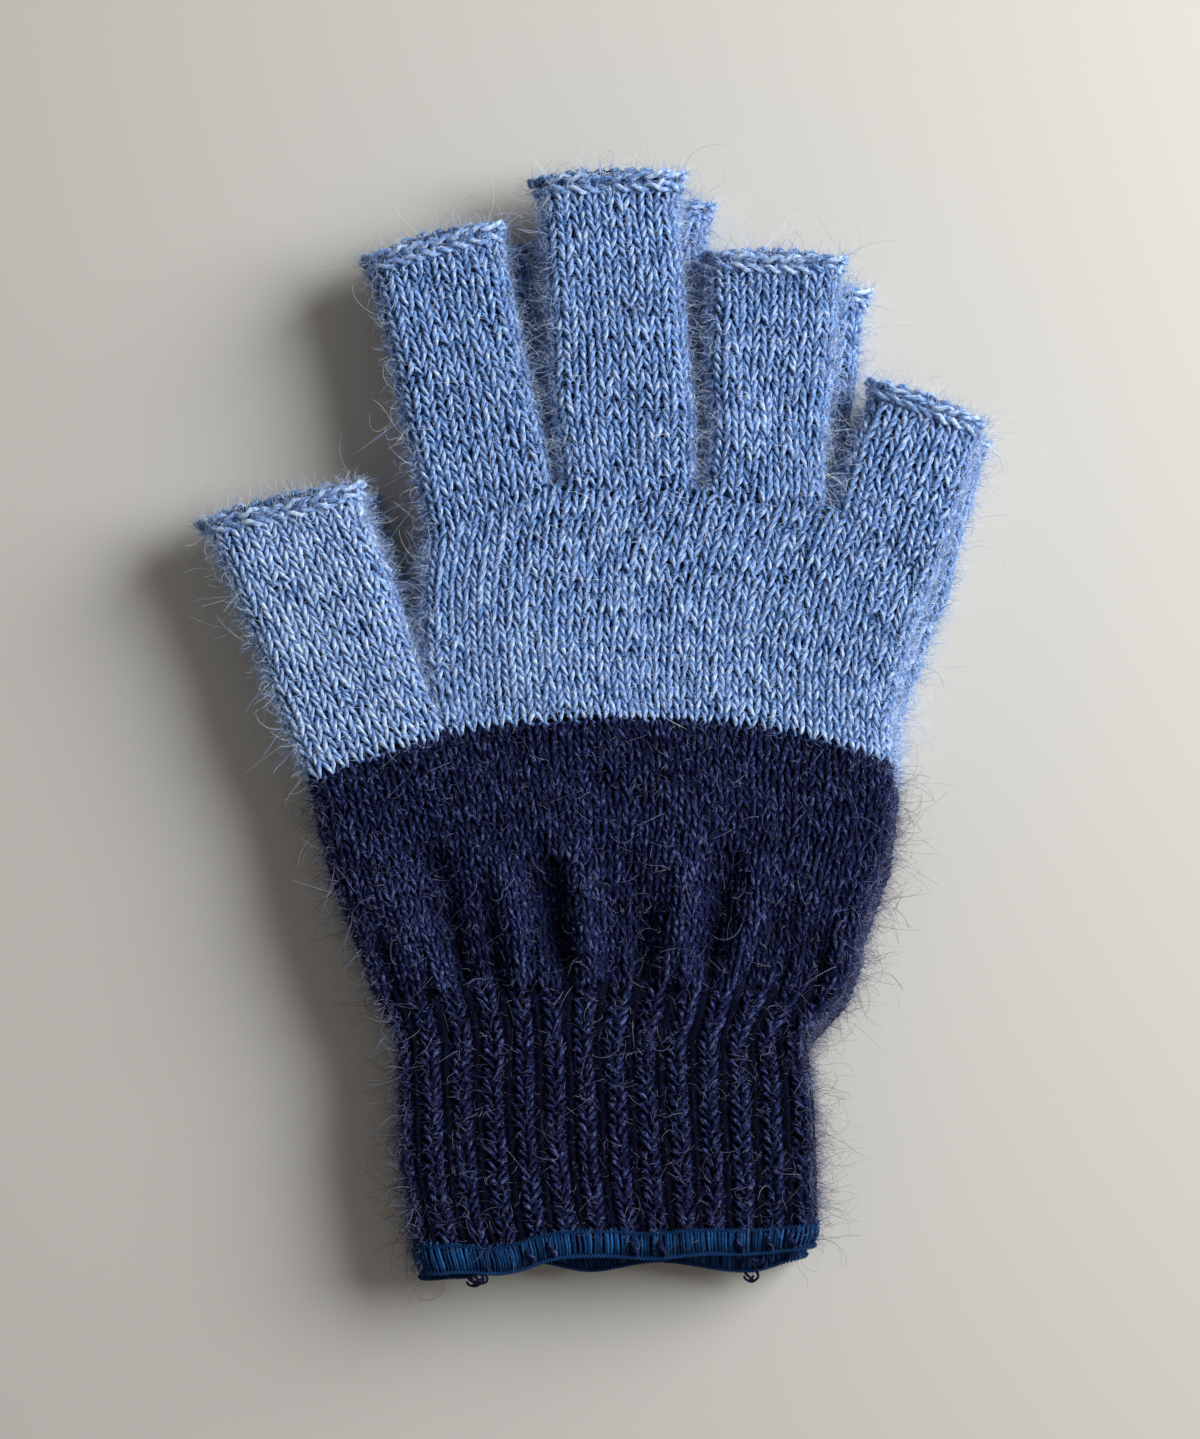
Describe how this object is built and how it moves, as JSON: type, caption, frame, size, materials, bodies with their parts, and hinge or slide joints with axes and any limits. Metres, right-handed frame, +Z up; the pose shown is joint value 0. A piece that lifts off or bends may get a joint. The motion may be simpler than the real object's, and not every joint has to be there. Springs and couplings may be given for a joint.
{
  "type": "knitted gloves",
  "caption": "Pair of short-finger knitted wool gloves with navy ribbed cuffs and light-blue palms, laid flat one on the other, with digits and cuffs that bend.",
  "frame": {"origin": "centre of the pair's outline, on the surface that it lies on", "axes": "+Y from the cuffs to the fingertips, +X to the little fingers, with the thumbs on the -X side, +Z up out of the stack"},
  "size_m": [0.1362, 0.1892, 0.0155],
  "materials": {
    "light_blue_yarn": "fuzzy heathered light-blue wool yarn, plain knit",
    "navy_yarn": "fuzzy heathered navy wool yarn, plain knit and rib",
    "hem_thread": "fine bright-blue overlock thread"
  },
  "bodies": {
    "lower_hand": {"lower_hand": "navy_yarn", "lower_palm": "light_blue_yarn"},
    "lower_cuff": {"lower_cuff": "navy_yarn", "lower_hem": "hem_thread"},
    "lower_thumb": {"lower_thumb": "light_blue_yarn", "lower_thumb_edge": "light_blue_yarn"},
    "lower_index": {"lower_index": "light_blue_yarn", "lower_index_edge": "light_blue_yarn"},
    "lower_middle": {"lower_middle": "light_blue_yarn", "lower_middle_edge": "light_blue_yarn"},
    "lower_ring": {"lower_ring": "light_blue_yarn", "lower_ring_edge": "light_blue_yarn"},
    "lower_little": {"lower_little": "light_blue_yarn", "lower_little_edge": "light_blue_yarn"},
    "upper_hand": {"upper_hand": "navy_yarn", "upper_palm": "light_blue_yarn"},
    "upper_cuff": {"upper_cuff": "navy_yarn", "upper_hem": "hem_thread"},
    "upper_thumb": {"upper_thumb": "light_blue_yarn", "upper_thumb_edge": "light_blue_yarn"},
    "upper_index": {"upper_index": "light_blue_yarn", "upper_index_edge": "light_blue_yarn"},
    "upper_middle": {"upper_middle": "light_blue_yarn", "upper_middle_edge": "light_blue_yarn"},
    "upper_ring": {"upper_ring": "light_blue_yarn", "upper_ring_edge": "light_blue_yarn"},
    "upper_little": {"upper_little": "light_blue_yarn", "upper_little_edge": "light_blue_yarn"}
  },
  "joints": [
    {"name": "glove_lift", "type": "slide", "parent": "lower_hand", "child": "upper_hand", "axis": [0, 0, 1], "range_m": [0, 0.06]},
    {"name": "cuff_bend", "type": "hinge", "parent": "upper_hand", "child": "upper_cuff", "pos_m": [0.0005, -0.0521, 0.0155], "axis": [-1, 0, 0], "range_deg": [0, 45]},
    {"name": "thumb_bend", "type": "hinge", "parent": "upper_hand", "child": "upper_thumb", "pos_m": [-0.04212, 0.00154, 0.0155], "axis": [0.9455, 0.3256, 0], "range_deg": [0, 45]},
    {"name": "index_bend", "type": "hinge", "parent": "upper_hand", "child": "upper_index", "pos_m": [-0.01944, 0.03989, 0.0155], "axis": [0.9781, 0.2079, 0], "range_deg": [0, 45]},
    {"name": "middle_bend", "type": "hinge", "parent": "upper_hand", "child": "upper_middle", "pos_m": [0.00457, 0.04324, 0.0155], "axis": [0.9976, 0.0698, 0], "range_deg": [0, 45]},
    {"name": "ring_bend", "type": "hinge", "parent": "upper_hand", "child": "upper_ring", "pos_m": [0.02785, 0.04042, 0.0155], "axis": [0.999, -0.0436, 0], "range_deg": [0, 45]},
    {"name": "little_bend", "type": "hinge", "parent": "upper_hand", "child": "upper_little", "pos_m": [0.04926, 0.03465, 0.0155], "axis": [0.9563, -0.2924, 0], "range_deg": [0, 45]},
    {"name": "lower_cuff_bend", "type": "hinge", "parent": "lower_hand", "child": "lower_cuff", "pos_m": [0.0005, -0.0521, 0.0155], "axis": [-1, 0, 0], "range_deg": [0, 45]},
    {"name": "lower_thumb_bend", "type": "hinge", "parent": "lower_hand", "child": "lower_thumb", "pos_m": [-0.04212, 0.00154, 0.0155], "axis": [0.9455, 0.3256, 0], "range_deg": [0, 45]},
    {"name": "lower_index_bend", "type": "hinge", "parent": "lower_hand", "child": "lower_index", "pos_m": [-0.01944, 0.03989, 0.0155], "axis": [0.9781, 0.2079, 0], "range_deg": [0, 45]},
    {"name": "lower_middle_bend", "type": "hinge", "parent": "lower_hand", "child": "lower_middle", "pos_m": [0.00457, 0.04324, 0.0155], "axis": [0.9976, 0.0698, 0], "range_deg": [0, 45]},
    {"name": "lower_ring_bend", "type": "hinge", "parent": "lower_hand", "child": "lower_ring", "pos_m": [0.02785, 0.04042, 0.0155], "axis": [0.999, -0.0436, 0], "range_deg": [0, 45]},
    {"name": "lower_little_bend", "type": "hinge", "parent": "lower_hand", "child": "lower_little", "pos_m": [0.04926, 0.03465, 0.0155], "axis": [0.9563, -0.2924, 0], "range_deg": [0, 45]}
  ],
  "couplings": [
    {"joint": "lower_cuff_bend", "follows": "cuff_bend", "ratio": 1},
    {"joint": "lower_thumb_bend", "follows": "glove_lift", "rad_per_m": 13},
    {"joint": "lower_index_bend", "follows": "glove_lift", "rad_per_m": 13},
    {"joint": "lower_middle_bend", "follows": "glove_lift", "rad_per_m": 13},
    {"joint": "lower_ring_bend", "follows": "glove_lift", "rad_per_m": 13},
    {"joint": "lower_little_bend", "follows": "glove_lift", "rad_per_m": 13}
  ]
}
